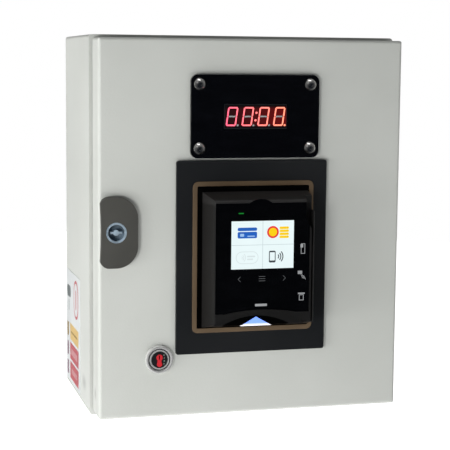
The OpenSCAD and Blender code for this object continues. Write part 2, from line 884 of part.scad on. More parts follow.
module reader_frame() {
    color("#27282a") difference() {
        reader_hull();
        slab(front_y - 1, glass_y + glass_t) glass_outline(0);
        block([-34, glass_y + glass_t - 0.1, -59.5], [35, panel_y + 1, 19.5]);
        slot_recess();
        block([-card_half, card_y, -80], [card_half, card_y + card_t, -50]);
        slab(front_y - 1, front_y + swipe_d) {
            translate([swipe_x, -90]) square([swipe_gap, 140]);
            intersection() {
                swipe_flare(0);
                translate([30, -90]) square([swipe_x + swipe_gap - 30, 140]);
            }
        }
        slab(front_y - 1, front_y + swipe_d) polygon([[38, 60], [38, 20.5], [44, 14], [60, 14], [60, 60]]);
        block([34, front_y + 3, -30], [swipe_x + 0.1, front_y + 7.5, -18]);
        slab(front_y + 11, front_y + 14) lens_outline();
    }
}

module lens_outline() {
    polygon([[-12.6, -75.4], [12.4, -75.4], [-0.1, -68.3]]);
}

module reader_glass() {
    color("#08090b") slab(glass_y, glass_y + glass_t) glass_outline(0.15);
}

module reader_screen() {
    y = glass_y + glass_t;
    color("#e9edf2") block([screen_x - 28, y, screen_z - 23], [screen_x + 30, y + 2.4, screen_z + 21.5]);
}

module reader_main_board() {
    color("#1f5f3a") {
        block([-32, front_y + 13, -58], [33, front_y + 13 + board_t, 18]);
        block([-20, front_y + 11, -6], [-4, front_y + 13, 10]);
        block([8, front_y + 11.4, -2], [20, front_y + 13, 10]);
    }
}

module reader_card_slot() {
    color("#303336") difference() {
        block([-31, card_y - 1.9, -59.2], [31, card_y + card_t + 2, -34]);
        block([-card_half, card_y, -70], [card_half, card_y + card_t, -36]);
    }
}

module reader_slot_lens() {
    color("#8fb4ff") slab(front_y + 11.4, front_y + 14) lens_outline();
}

module reader_swipe_head() {
    color("#8c9092") block([35.2, front_y + 3.2, -29.6], [swipe_x - 0.05, front_y + 7.3, -18.4]);
}

module reader_rear_tub() {
    color("#1b1c1e") difference() {
        union() {
            slab(panel_y, tub_y) tub_outline(0);
            for (k = [-1, 0, 1]) block([k * 17 - 6.5, tub_y, -50], [k * 17 + 6.5, tub_y + 5, -38]);
        }
        slab(panel_y - 1, tub_y - 2) tub_outline(-2);
    }
}

module reader_studs() {
    color("silver") reader_stud_places() bar_y(0, 0, 1.5, panel_y, inner_y + 8);
}

// ---------- wiring ----------

wire_r = 1.1;
loom_r = 3.5;
loom_start = [84, -104, 44];
loom_bend = [88, -140, -34];
loom_end = [62, -145.5, -60];

module wire(a, b, c, d) {
    tube_along(route(a, b, c, d, 10), wire_r, 6);
}

module door_loom() {
    color("#222426") tube_along(
        route(loom_start, [84, -128, 10], loom_bend, loom_end, 16), loom_r, 10);
}

module earth_strap() {
    color("#7fae3a") tube_along(
        route([78, -34.5, -104], [78, -100, -104], [96, -112, -96], [74, -147, -112], 18), 1.6, 8);
}

// Places for wires round the sheath at either end of the loom
bundle_r = 2.35;
loom_in = unit([0, 24, 34]);
loom_out = unit(loom_end - loom_bend);

// Wires between the devices on the rail, and from the terminal blocks to the loom
module internal_wiring() {
    supply_y = device_y - 43.3;
    control_y = device_y - 34.3;
    block_y = device_y - 38.3;
    color("#3b5fb0") {
        for (k = [0, 1]) {
            wire([-60 + 8 * k, supply_y, rail_z - 38], [-60 + 8 * k, -105 - 3 * k, rail_z - 56],
                 [toggle_x - 3 + 6 * k, -56 - 6 * k, rail_z - 76 + 6 * k],
                 [toggle_x - 3 + 6 * k, -48, rail_z - 42.4]);
            wire([-52 + 8 * k, supply_y, rail_z + 38], [-52 + 8 * k, -96, rail_z + 66 - 8 * k],
                 [5.7 - 6.2 * k, -90, rail_z + 68 - 8 * k], [5.7 - 6.2 * k, control_y, rail_z + 40]);
        }
        for (k = [0 : 3]) {
            wire([24.3 + 6.2 * k, control_y, rail_z - 40], [24.3 + 6.2 * k, -88, rail_z - 72 + 5 * k],
                 [76.1 - 5.2 * k, -94, rail_z - 58 + 8 * k], [76.1 - 5.2 * k, block_y, rail_z - 15]);
            wire([60.5 + 5.2 * k, block_y, rail_z + 15], [60.5 + 5.2 * k, -76, rail_z + 15],
                 ring_point(loom_start + 16 * loom_in, loom_in, 6, 105 + 60 * k),
                 ring_point(loom_start + 0.4 * loom_in, loom_in, bundle_r, 105 + 60 * k));
        }
    }
}

// Wires that leave the loom for the reader, the clock board and the key switch
module door_wiring() {
    leave = loom_end + 1.6 * loom_out;
    color("#b04a3b") {
        for (k = [-1 : 1])
            wire(ring_point(leave, loom_out, bundle_r, 180 + 60 * k),
                 [44.5 + 7.5 * k, -132 - 0.5 * k, -90.5 - 9 * k],
                 [19.5 * k - 0.5, -58, -96.5], [17 * k, -106.7, -44]);
        for (k = [0, 1])
            wire(ring_point(leave, loom_out, bundle_r, 60 - 60 * k),
                 [31.5 - 0.5 * k, -144 - 5 * k, -101 + 0.5 * k],
                 [64.5 + 10.5 * k, -146, 20], [20 + 4 * k, board_y + board_t + wire_r + 0.1, 68]);
        wire(leave, [38, -146, -101], [-44, -92, -112], [key_x + 4, -108.2, key_z + 5]);
        wire(ring_point(leave, loom_out, bundle_r, 300), [42, -146, -104], [-44, -92, -124],
             [key_x + 4, -108.2, key_z - 5]);
    }
}

enclosure_body();
gland_plate_seal();
gland_plate();
gland_plate_screws();
gland_bodies();
gland_caps();
gland_seals();
gland_locknuts();
side_label();
mounting_studs();
mounting_plate();
mounting_nuts();
din_rail();
rail_screws();
power_supply_case();
power_supply_terminals();
circuit_breaker();
breaker_toggle();
controller_base();
controller_cover();
terminal_blocks();
end_stops();
earth_stud();
latch_keeper();
hinge_body_leaves();
hinge_pins();
hinge_door_leaves();
door();
door_gasket();
lock_escutcheon();
lock_housing();
lock_retainer();
lock_insert();
lock_cam();
lock_cam_nut();
key_switch_bezel();
key_switch_contacts();
key_barrel();
keyway_insert();
clock_window();
clock_screws();
panel_nuts();
clock_led_module();
clock_board();
clock_standoffs();
reader_bezel_plate();
reader_seal();
reader_frame();
reader_glass();
reader_screen();
reader_main_board();
reader_card_slot();
reader_slot_lens();
reader_swipe_head();
reader_rear_tub();
reader_studs();
door_loom();
earth_strap();
internal_wiring();
door_wiring();
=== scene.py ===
# %% [markdown]
# # A parking pay station
# The station is a folded sheet-steel enclosure on a wall. Its door carries a digital clock, a card
# reader, a quarter-turn lock and a key switch. The working parts come as a fixed frame, in metres,
# with +X right, +Z up and the door facing -Y. This lesson gives each part its finish and adds what
# only the eye needs: lit digits, the screen's picture, printed marks and smooth copies of the leads.

# %% Load the frame
import json
import math

import bmesh
import bpy
from mathutils import Matrix, Vector


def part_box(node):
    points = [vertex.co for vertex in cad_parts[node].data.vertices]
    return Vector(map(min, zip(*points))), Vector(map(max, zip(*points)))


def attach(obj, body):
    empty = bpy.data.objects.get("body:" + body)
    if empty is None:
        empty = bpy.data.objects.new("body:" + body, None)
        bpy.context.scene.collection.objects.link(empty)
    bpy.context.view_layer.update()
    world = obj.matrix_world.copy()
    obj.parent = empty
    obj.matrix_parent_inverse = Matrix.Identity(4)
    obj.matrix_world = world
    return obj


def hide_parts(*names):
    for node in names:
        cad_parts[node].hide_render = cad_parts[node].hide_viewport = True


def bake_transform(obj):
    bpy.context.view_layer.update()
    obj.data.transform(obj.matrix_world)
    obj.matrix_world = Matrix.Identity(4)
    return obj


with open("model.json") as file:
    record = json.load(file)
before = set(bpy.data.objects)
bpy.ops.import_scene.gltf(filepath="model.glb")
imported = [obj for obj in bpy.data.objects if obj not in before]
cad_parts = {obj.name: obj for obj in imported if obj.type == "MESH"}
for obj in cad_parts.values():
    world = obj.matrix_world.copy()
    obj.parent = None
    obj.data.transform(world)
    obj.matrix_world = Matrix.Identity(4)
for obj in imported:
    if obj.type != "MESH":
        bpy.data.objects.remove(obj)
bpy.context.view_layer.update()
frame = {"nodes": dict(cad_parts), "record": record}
nodes = frame["nodes"]
MM = 0.001

# %% [markdown]
# ## Placing things from the frame
# Many positions are worked out from the box of a part that is already there. These few values are
# the ones that many cells share.

# %% Shared places
door_lo, door_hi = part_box("door")
glass_lo, glass_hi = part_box("reader_glass")
led_lo, led_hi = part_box("clock_led_module")
label_lo, label_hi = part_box("side_label")
barrel_lo, barrel_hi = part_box("key_barrel")
print("door front at y =", round(door_lo.y, 4), "reader glass at y =", round(glass_lo.y, 4))

# %% [markdown]
# ## Mesh helpers
# A new piece starts as a bmesh. `finish_piece` turns it into an object at the origin, marks the
# edges that turn sharply so that smooth shading stops there, and lets it ride on its body.

# %% Turn a bmesh into a finished piece
def mark_sharp(mesh_bm, degrees):
    limit = math.radians(degrees)
    for face in mesh_bm.faces:
        face.smooth = True
    for edge in mesh_bm.edges:
        edge.smooth = len(edge.link_faces) == 2 and edge.calc_face_angle(0.0) < limit


def finish_piece(name, mesh_bm, material, body, replaces=(), sharp=32):
    bmesh.ops.recalc_face_normals(mesh_bm, faces=mesh_bm.faces)
    mark_sharp(mesh_bm, sharp)
    mesh = bpy.data.meshes.new(name)
    mesh_bm.to_mesh(mesh)
    mesh_bm.free()
    mesh.materials.append(material)
    piece = bpy.data.objects.new(name, mesh)
    bpy.context.scene.collection.objects.link(piece)
    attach(piece, body)
    if replaces:
        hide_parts(*replaces)
    return piece


def even_shading(piece):
    """Keeps large flat faces flat beside small rounded ones."""
    modifier = piece.modifiers.new("even_shading", "WEIGHTED_NORMAL")
    modifier.keep_sharp = True
    modifier.weight = 100
    return piece


# %% [markdown]
# Flat work such as marks, segments and labels is made of plates that lie in the X-Z plane and face
# -Y. A plate is a cube scaled to size. Bevelling its four edges along Y rounds its outline.

# %% Plates, discs and rings that face -Y
def plate(mesh_bm, x, z, w, h, y_front, depth, corner=0.0, turn=0.0):
    """Adds a plate centred on x, z, with its front at y_front and its outline's corners rounded."""
    made = bmesh.ops.create_cube(mesh_bm, size=1.0)["verts"]
    bmesh.ops.scale(mesh_bm, vec=(w, depth, h), verts=made)
    if corner > 0.0:
        edges = {e for v in made for e in v.link_edges}
        along_y = [e for e in edges if abs((e.verts[0].co - e.verts[1].co).y) > depth / 2]
        cut = bmesh.ops.bevel(
            mesh_bm, geom=along_y, offset=corner, offset_type="OFFSET", affect="EDGES",
            segments=5, profile=0.5, material=-1, clamp_overlap=True,
        )
        made = list({v for f in cut["faces"] for v in f.verts} | {v for v in made if v.is_valid})
    if turn:
        bmesh.ops.rotate(mesh_bm, cent=(0, 0, 0), matrix=Matrix.Rotation(turn, 3, "Y"), verts=made)
    bmesh.ops.translate(mesh_bm, vec=(x, y_front + depth / 2, z), verts=made)
    return made


def disc(mesh_bm, x, z, r, y_front, depth, sides=32):
    """Adds a round plate."""
    spin = Matrix.Translation((x, y_front + depth / 2, z)) @ Matrix.Rotation(math.pi / 2, 4, "X")
    return bmesh.ops.create_cone(
        mesh_bm, cap_ends=True, segments=sides, radius1=r, radius2=r, depth=depth, matrix=spin
    )["verts"]


def outline(mesh_bm, x, z, w, h, y_front, depth, line, corner=0.0, turn=0.0):
    """Adds the outline of a plate, as four bars with rounded ends."""
    for dx, dz, bw, bh in (
        (0, (h - line) / 2, w, line),
        (0, (line - h) / 2, w, line),
        ((w - line) / 2, 0, line, h),
        ((line - w) / 2, 0, line, h),
    ):
        c, s = math.cos(turn), math.sin(turn)
        plate(mesh_bm, x + dx * c + dz * s, z - dx * s + dz * c, bw, bh, y_front, depth, corner, turn)


# %% [markdown]
# Sheet metal, moulded plastic and turned parts have no razor edges, and the thin highlight along a
# rounded edge is what makes a part look real. `rounded` copies a part from the frame, merges its
# loose triangles, joins the flat ones and bevels every edge that is sharp. The copy then stands
# for the part.

# %% Round the edges of a part
def rounded(node, material, body, width, segments=2, min_angle=28.0, sharp=40, chosen=None):
    mesh_bm = bmesh.new()
    mesh_bm.from_mesh(nodes[node].data)
    bmesh.ops.remove_doubles(mesh_bm, verts=mesh_bm.verts, dist=2e-6)
    bmesh.ops.dissolve_limit(
        mesh_bm, angle_limit=math.radians(0.6), use_dissolve_boundaries=False,
        verts=mesh_bm.verts, edges=mesh_bm.edges, delimit={"NORMAL"},
    )
    limit = math.radians(min_angle)
    crisp = [e for e in mesh_bm.edges if len(e.link_faces) == 2 and e.calc_face_angle(0.0) > limit]
    if chosen is not None:
        crisp = [e for e in crisp if chosen(e)]
    bmesh.ops.bevel(
        mesh_bm, geom=crisp, offset=width, offset_type="OFFSET", affect="EDGES",
        segments=segments, profile=0.5, material=-1, clamp_overlap=True, loop_slide=True,
    )
    bmesh.ops.triangulate(mesh_bm, faces=[f for f in mesh_bm.faces if len(f.verts) > 4])
    return even_shading(finish_piece(node + "_finished", mesh_bm, material, body, (node,), sharp))


# %% [markdown]
# ## Effects shared by several finishes
# Powder coat, moulded plastic and brushed metal each have a small-scale relief. Each relief is a
# node group that puts out a height for bump and a slow shade for colour, so that every material
# can use it with its own scale. They read Object coordinates, which here are metres.

# %% Build a node group
def new_group(name, inputs, outputs):
    group = bpy.data.node_groups.new(name, "ShaderNodeTree")
    for label, value in inputs.items():
        socket = group.interface.new_socket(label, in_out="INPUT", socket_type="NodeSocketFloat")
        socket.default_value = value
    for label in outputs:
        group.interface.new_socket(label, in_out="OUTPUT", socket_type="NodeSocketFloat")
    return group, group.nodes.new("NodeGroupInput"), group.nodes.new("NodeGroupOutput")


def noise(tree, vector, scale=None, detail=2.0, rough=0.5, fixed=5.0):
    node = tree.nodes.new("ShaderNodeTexNoise")
    node.inputs["Detail"].default_value = detail
    node.inputs["Roughness"].default_value = rough
    node.inputs["Scale"].default_value = fixed
    tree.links.new(vector, node.inputs["Vector"])
    if scale is not None:
        tree.links.new(scale, node.inputs["Scale"])
    return node.outputs["Fac"]


def math_node(tree, operation, a, b):
    node = tree.nodes.new("ShaderNodeMath")
    node.operation = operation
    for socket, value in zip(node.inputs, (a, b)):
        if isinstance(value, (int, float)):
            socket.default_value = value
        else:
            tree.links.new(value, socket)
    return node.outputs[0]


def object_coordinates(tree):
    return tree.nodes.new("ShaderNodeTexCoord").outputs["Object"]


# %% Relief of a sprayed and baked powder coat
def make_coat_group():
    group, put, out = new_group("sprayed_coat", {"Scale": 700.0}, ("Height", "Shade"))
    place = object_coordinates(group)
    peel = noise(group, place, put.outputs["Scale"], detail=1.0)
    fine = noise(group, place, math_node(group, "MULTIPLY", put.outputs["Scale"], 3.1), detail=0.0)
    height = math_node(group, "ADD", peel, math_node(group, "MULTIPLY", fine, 0.35))
    group.links.new(height, out.inputs["Height"])
    group.links.new(noise(group, place, fixed=9.0, detail=3.0), out.inputs["Shade"])
    return group


# %% Grain of a moulded part
def make_grain_group():
    group, put, out = new_group("moulded_grain", {"Scale": 2600.0}, ("Height", "Shade"))
    place = object_coordinates(group)
    cells = group.nodes.new("ShaderNodeTexVoronoi")
    cells.feature = "SMOOTH_F1"
    group.links.new(place, cells.inputs["Vector"])
    group.links.new(put.outputs["Scale"], cells.inputs["Scale"])
    pits = noise(group, place, put.outputs["Scale"], detail=2.0)
    height = math_node(group, "ADD", cells.outputs["Distance"], pits)
    group.links.new(height, out.inputs["Height"])
    group.links.new(noise(group, place, fixed=22.0, detail=4.0), out.inputs["Shade"])
    return group


# %% Drawing marks of brushed or rolled metal
def make_brush_group():
    group, put, out = new_group("drawn_metal", {"Scale": 1.0}, ("Height", "Shade"))
    mapping = group.nodes.new("ShaderNodeMapping")
    mapping.inputs["Scale"].default_value = (60.0, 60.0, 2600.0)
    group.links.new(object_coordinates(group), mapping.inputs["Vector"])
    lines = noise(group, mapping.outputs["Vector"], put.outputs["Scale"], detail=3.0)
    group.links.new(lines, out.inputs["Height"])
    group.links.new(noise(group, object_coordinates(group), fixed=70.0, detail=4.0), out.inputs["Shade"])
    return group


# %% Wipe marks and faint finger prints on a polished surface
def make_wipe_group():
    group, put, out = new_group("wipe_marks", {"Scale": 45.0}, ("Mask",))
    mapping = group.nodes.new("ShaderNodeMapping")
    mapping.inputs["Rotation"].default_value = (0.0, 0.6, 0.0)
    mapping.inputs["Scale"].default_value = (1.0, 1.0, 3.5)
    group.links.new(object_coordinates(group), mapping.inputs["Vector"])
    soft = noise(group, mapping.outputs["Vector"], put.outputs["Scale"], detail=5.0, rough=0.65)
    group.links.new(math_node(group, "POWER", soft, 2.2), out.inputs["Mask"])
    return group


coat_group = make_coat_group()
grain_group = make_grain_group()
brush_group = make_brush_group()
wipe_group = make_wipe_group()
print("groups:", [g.name for g in bpy.data.node_groups])

# %% [markdown]
# ## A finish
# A finish is a Principled shader with fixed values on its own sockets. Only what changes over the
# surface is linked: a colour that drifts between two close shades, a roughness that drifts with
# handling, and a bump.

# %% Build a finish from a relief group
def add_group(tree, group, scale=None):
    node = tree.nodes.new("ShaderNodeGroup")
    node.node_tree = group
    if scale is not None:
        node.inputs["Scale"].default_value = scale
    return node


def blend_colour(tree, mask, first, second, low=0.35, high=0.65):
    ramp = tree.nodes.new("ShaderNodeValToRGB")
    ramp.color_ramp.elements[0].position = low
    ramp.color_ramp.elements[0].color = (*first, 1.0)
    ramp.color_ramp.elements[1].position = high
    ramp.color_ramp.elements[1].color = (*second, 1.0)
    tree.links.new(mask, ramp.inputs["Fac"])
    return ramp.outputs["Color"]


def drift(tree, mask, low, high):
    node = tree.nodes.new("ShaderNodeMapRange")
    node.inputs["From Min"].default_value = 0.25
    node.inputs["From Max"].default_value = 0.75
    node.inputs["To Min"].default_value = low
    node.inputs["To Max"].default_value = high
    tree.links.new(mask, node.inputs["Value"])
    return node.outputs["Result"]


def relief(tree, shader, height, strength, distance):
    bump = tree.nodes.new("ShaderNodeBump")
    bump.inputs["Strength"].default_value = strength
    bump.inputs["Distance"].default_value = distance
    tree.links.new(height, bump.inputs["Height"])
    tree.links.new(bump.outputs["Normal"], shader.inputs["Normal"])


def tint(tree, shader, factor):
    """Multiplies the base colour that is already there by a factor, from black to unchanged."""
    mix = tree.nodes.new("ShaderNodeMix")
    mix.data_type = "RGBA"
    mix.blend_type = "MULTIPLY"
    mix.inputs["Factor"].default_value = 1.0
    first, second = [i for i in mix.inputs if i.type == "RGBA"]
    result = [o for o in mix.outputs if o.type == "RGBA"][0]
    tree.links.new(shader.inputs["Base Color"].links[0].from_socket, first)
    tree.links.new(factor, second)
    tree.links.new(result, shader.inputs["Base Color"])


def finish(name, group, scale, shades, rough, bump, metallic=0.0, **fixed):
    """A material from a relief group: two shades, a roughness range and (strength, metres) of bump."""
    material = bpy.data.materials.new(name)
    material.use_nodes = True
    tree = material.node_tree
    shader = tree.nodes["Principled BSDF"]
    shader.inputs["Metallic"].default_value = metallic
    for socket, value in fixed.items():
        shader.inputs[socket.replace("_", " ")].default_value = value
    source = add_group(tree, group, scale)
    tree.links.new(blend_colour(tree, source.outputs["Shade"], *shades), shader.inputs["Base Color"])
    tree.links.new(drift(tree, source.outputs["Shade"], *rough), shader.inputs["Roughness"])
    relief(tree, shader, source.outputs["Height"], *bump)
    return material


# %% [markdown]
# The enclosure has a light grey powder coat. Its gloss is low, and its surface shows a fine orange
# peel: droplets about a millimetre across that melted together.

# %% Painted finishes
powder_coat = finish(
    "powder_coat", coat_group, 620.0,
    ((0.545, 0.560, 0.525), (0.585, 0.600, 0.565)), (0.42, 0.50), (0.22, 0.00025),
)
bezel_black = finish(
    "bezel_black", coat_group, 1100.0,
    ((0.0095, 0.0105, 0.0120), (0.0135, 0.0145, 0.0160)), (0.48, 0.58), (0.25, 0.00018),
)

# %% [markdown]
# Moulded plastics take the grain of their tool. The reader's housing and the lock's cover are
# spark-eroded grey-black, and the devices on the rail are smoother.

# %% Moulded finishes
def moulded(name, colour, rough=(0.45, 0.58), bump=(0.18, 0.0001), spread=0.12, scale=2600.0, **fixed):
    darker = tuple(c * (1.0 - spread) for c in colour)
    lighter = tuple(c * (1.0 + spread) for c in colour)
    return finish(name, grain_group, scale, (darker, lighter), rough, bump, **fixed)


reader_plastic = moulded("reader_plastic", (0.0105, 0.0102, 0.0100), rough=(0.42, 0.52))
lock_plastic = moulded("lock_plastic", (0.066, 0.065, 0.058), rough=(0.46, 0.58), scale=1900.0)
gland_plastic = moulded("gland_plastic", (0.050, 0.054, 0.058))
device_grey = moulded("device_grey", (0.24, 0.25, 0.26))
device_white = moulded("device_white", (0.66, 0.66, 0.63), spread=0.04)
device_dark = moulded("device_dark", (0.022, 0.024, 0.027))
terminal_green = moulded("terminal_green", (0.035, 0.19, 0.085))
terminal_grey = moulded("terminal_grey", (0.33, 0.34, 0.32))
end_stop_beige = moulded("end_stop_beige", (0.50, 0.45, 0.34))
toggle_blue = moulded("toggle_blue", (0.015, 0.045, 0.26), rough=(0.28, 0.36))
key_face_black = moulded("key_face_black", (0.012, 0.013, 0.015), rough=(0.30, 0.42))
keyway_red = moulded("keyway_red", (0.56, 0.018, 0.028), rough=(0.25, 0.35))
print("moulded finishes ready")

# %% [markdown]
# Two finishes change from place to place. The powder coat is darker in a soft oval low on the
# enclosure's side and in another on the door's edge. The reader's housing has painted shade in the
# mouth of the card slot and where it meets its seal, and a painted highlight along its upper bevel.

# %% Darker soft ovals on the powder coat
def darken_soft_oval(material, centre, reach, strength):
    """Darkens a soft oval: centre and reach are points in metres, strength is the darkest share."""
    tree = material.node_tree
    offset = tree.nodes.new("ShaderNodeVectorMath")
    offset.operation = "SUBTRACT"
    offset.inputs[1].default_value = centre
    tree.links.new(object_coordinates(tree), offset.inputs[0])
    scaled = tree.nodes.new("ShaderNodeVectorMath")
    scaled.operation = "DIVIDE"
    scaled.inputs[1].default_value = reach
    tree.links.new(offset.outputs[0], scaled.inputs[0])
    length = tree.nodes.new("ShaderNodeVectorMath")
    length.operation = "LENGTH"
    tree.links.new(scaled.outputs[0], length.inputs[0])
    darkest = 1.0 - strength
    ramp = tree.nodes.new("ShaderNodeValToRGB")
    ramp.color_ramp.interpolation = "EASE"
    ramp.color_ramp.elements[0].color = (darkest, darkest, darkest, 1.0)
    ramp.color_ramp.elements[1].color = (1.0, 1.0, 1.0, 1.0)
    tree.links.new(length.outputs["Value"], ramp.inputs["Fac"])
    tint(tree, tree.nodes["Principled BSDF"], ramp.outputs["Color"])


darken_soft_oval(powder_coat, (-0.125, -0.097, -0.130), (0.02, 0.014, 0.009), 0.28)
darken_soft_oval(powder_coat, (-0.125, -0.1365, -0.130), (0.02, 0.005, 0.008), 0.30)
print("handling marks ready")

# %% Painted shade in the mouth of the card slot and at the foot, painted highlight on the upper bevel
def paint_housing_shade_and_highlight(material):
    tree = material.node_tree
    shader = tree.nodes["Principled BSDF"]
    axes = tree.nodes.new("ShaderNodeSeparateXYZ")
    tree.links.new(object_coordinates(tree), axes.inputs["Vector"])
    x, y, z = axes.outputs["X"], axes.outputs["Y"], axes.outputs["Z"]
    # Painted shade: darker under the arch of the card slot and at the foot where the housing meets its
    # seal.
    arch = math_node(tree, "MULTIPLY", math_node(tree, "MULTIPLY", x, x), -9.4)
    under_arch = math_node(tree, "SUBTRACT", math_node(tree, "ADD", arch, -0.0672), z)
    from_end = math_node(tree, "SUBTRACT", 0.027, math_node(tree, "ABSOLUTE", x, 0.0))
    below = math_node(tree, "MULTIPLY", under_arch, 1500.0)
    across = math_node(tree, "MULTIPLY", from_end, 900.0)
    slot_mouth_shade = math_node(tree, "MINIMUM", below, across)
    foot = math_node(tree, "MULTIPLY", math_node(tree, "ADD", y, 0.1585), 900.0)
    painted_shade_mask = math_node(tree, "MAXIMUM", slot_mouth_shade, foot)
    shade = blend_colour(tree, painted_shade_mask, (1.0, 1.0, 1.0), (0.08, 0.08, 0.08), 0.0, 1.0)
    # Painted highlight: paler along the upper bevel of the housing.
    above = math_node(tree, "MULTIPLY", math_node(tree, "SUBTRACT", z, 0.0205), 700.0)
    upper_bevel_highlight = math_node(tree, "MINIMUM", math_node(tree, "MAXIMUM", above, 0.0), 1.0)
    highlight_gain = math_node(tree, "ADD", math_node(tree, "MULTIPLY", upper_bevel_highlight, 0.9), 1.0)
    tint(tree, shader, math_node(tree, "MULTIPLY", shade, highlight_gain))
    # The painted shade also lowers the specular level there.
    tree.links.new(math_node(tree, "MULTIPLY", shade, 0.5), shader.inputs["Specular IOR Level"])


paint_housing_shade_and_highlight(reader_plastic)
print("reader housing shaded")

# %% [markdown]
# Rubber and foam scatter nearly all their light, so they are rough. The sheaths of the leads are
# smoother.

# %% Rubber and foam
seal_brown = moulded(
    "seal_brown", (0.118, 0.080, 0.046), rough=(0.78, 0.90), scale=1500.0, bump=(0.35, 0.0002),
)
foam_gasket = moulded(
    "foam_gasket", (0.035, 0.035, 0.036), rough=(0.80, 0.92), scale=900.0, bump=(0.5, 0.0004),
)
gland_rubber = moulded("gland_rubber", (0.014, 0.014, 0.015), rough=(0.62, 0.74))
wire_sheath = moulded("wire_sheath", (0.30, 0.055, 0.035), rough=(0.35, 0.48))
cable_sheath = moulded("cable_sheath", (0.016, 0.016, 0.018), rough=(0.42, 0.55))
print("rubber and foam ready")

# %% [markdown]
# Steel parts are zinc plated or stainless, and show faint drawing marks. The lock's insert, the key
# switch's ring and the screw heads keep some paler, scattered light of their own.

# %% Metal finishes
def metal(name, colour, rough, bump=(0.10, 0.00005), spread=0.08, metallic=1.0):
    darker = tuple(c * (1.0 - spread) for c in colour)
    lighter = tuple(min(c * (1.0 + spread), 1.0) for c in colour)
    return finish(name, brush_group, 1.0, (darker, lighter), rough, bump, metallic=metallic)


zinc_steel = metal("zinc_steel", (0.60, 0.62, 0.65), (0.26, 0.40))
galvanised_sheet = metal("galvanised_sheet", (0.58, 0.60, 0.61), (0.34, 0.52), spread=0.16)
stainless_steel = metal("stainless_steel", (0.72, 0.71, 0.69), (0.16, 0.28))
lock_alloy = metal("lock_alloy", (0.42, 0.53, 0.62), (0.22, 0.36), spread=0.4, metallic=0.4)
bright_chrome = metal(
    "bright_chrome", (0.80, 0.80, 0.79), (0.07, 0.14), bump=(0.03, 0.00003), spread=0.03, metallic=0.6,
)
brass = metal("brass", (0.74, 0.55, 0.24), (0.20, 0.34))
head_metal = metal("head_metal", (0.62, 0.63, 0.62), (0.16, 0.28), metallic=0.62)
print("metals ready")

# %% [markdown]
# The clock window and the reader's cover are polished and black. What the eye sees there is
# reflection, so their colour is almost nothing and wipe marks raise the roughness a little.

# %% Polished black finishes
def polished(name, colour, rough, mask_scale=45.0, **fixed):
    material = bpy.data.materials.new(name)
    material.use_nodes = True
    tree = material.node_tree
    shader = tree.nodes["Principled BSDF"]
    for socket, value in fixed.items():
        shader.inputs[socket.replace("_", " ")].default_value = value
    wipes = add_group(tree, wipe_group, mask_scale)
    lifted = tuple(c * 1.5 + 0.0006 for c in colour)
    shade = blend_colour(tree, wipes.outputs["Mask"], colour, lifted, 0.1, 0.5)
    tree.links.new(shade, shader.inputs["Base Color"])
    tree.links.new(drift(tree, wipes.outputs["Mask"], *rough), shader.inputs["Roughness"])
    return material


clock_acrylic = polished("clock_acrylic", (0.0016, 0.0018, 0.0026), (0.05, 0.13), IOR=1.42)
reader_cover = polished("reader_cover", (0.0012, 0.0013, 0.0017), (0.04, 0.10), mask_scale=60.0, IOR=1.40)
print("polished finishes ready")

# %% [markdown]
# Things that light up are emissive. Their light is steady over the piece apart from a slow drift,
# as a diffuser gives, and their colours follow the position along X where the real lamps differ.

# %% Lit finishes
def lit(name, first, second, low, high, strength, axis="X", rough=0.4):
    """Emission that runs from one colour at low to another at high along an axis, in metres."""
    material = bpy.data.materials.new(name)
    material.use_nodes = True
    tree = material.node_tree
    shader = tree.nodes["Principled BSDF"]
    shader.inputs["Roughness"].default_value = rough
    shader.inputs["Emission Strength"].default_value = strength
    axes = tree.nodes.new("ShaderNodeSeparateXYZ")
    tree.links.new(object_coordinates(tree), axes.inputs["Vector"])
    along = tree.nodes.new("ShaderNodeMapRange")
    along.inputs["From Min"].default_value = low
    along.inputs["From Max"].default_value = high
    tree.links.new(axes.outputs[axis], along.inputs["Value"])
    colour = blend_colour(tree, along.outputs["Result"], first, second, 0.0, 1.0)
    tree.links.new(colour, shader.inputs["Emission Color"])
    tree.links.new(colour, shader.inputs["Base Color"])
    return material


digit_red = lit("digit_red", (1.0, 0.11, 0.20), (1.0, 0.27, 0.16), led_lo.x, led_hi.x, 1.0)
print("lit finishes ready")

# %% [markdown]
# ## Camera and studio
# The camera looks at the door from its left and from a little above, with a long lens. The floor
# glows softly, and panels stand on the left, near the front and overhead. Colours are shown with
# the Standard transform so that white stays white.

# %% Camera
def make_camera():
    data = bpy.data.cameras.new("camera")
    data.sensor_width = 36.0
    data.lens = 109.03
    camera = bpy.data.objects.new("camera", data)
    bpy.context.scene.collection.objects.link(camera)
    yaw, pitch, roll = math.radians(14.96), math.radians(6.705), math.radians(0.51)
    aim = (
        Matrix.Rotation(-yaw, 4, "Z")
        @ Matrix.Rotation(math.pi / 2 - pitch, 4, "X")
        @ Matrix.Rotation(roll, 4, "Z")
    )
    camera.matrix_world = Matrix.Translation((-0.2957, -1.1748, 0.1274)) @ aim
    bpy.context.scene.camera = camera
    return camera


camera = make_camera()
print("camera at", [round(v, 3) for v in camera.location])

# %% [markdown]
# The floor is a pale disc under and behind the enclosure. Its glow lights the door from below.

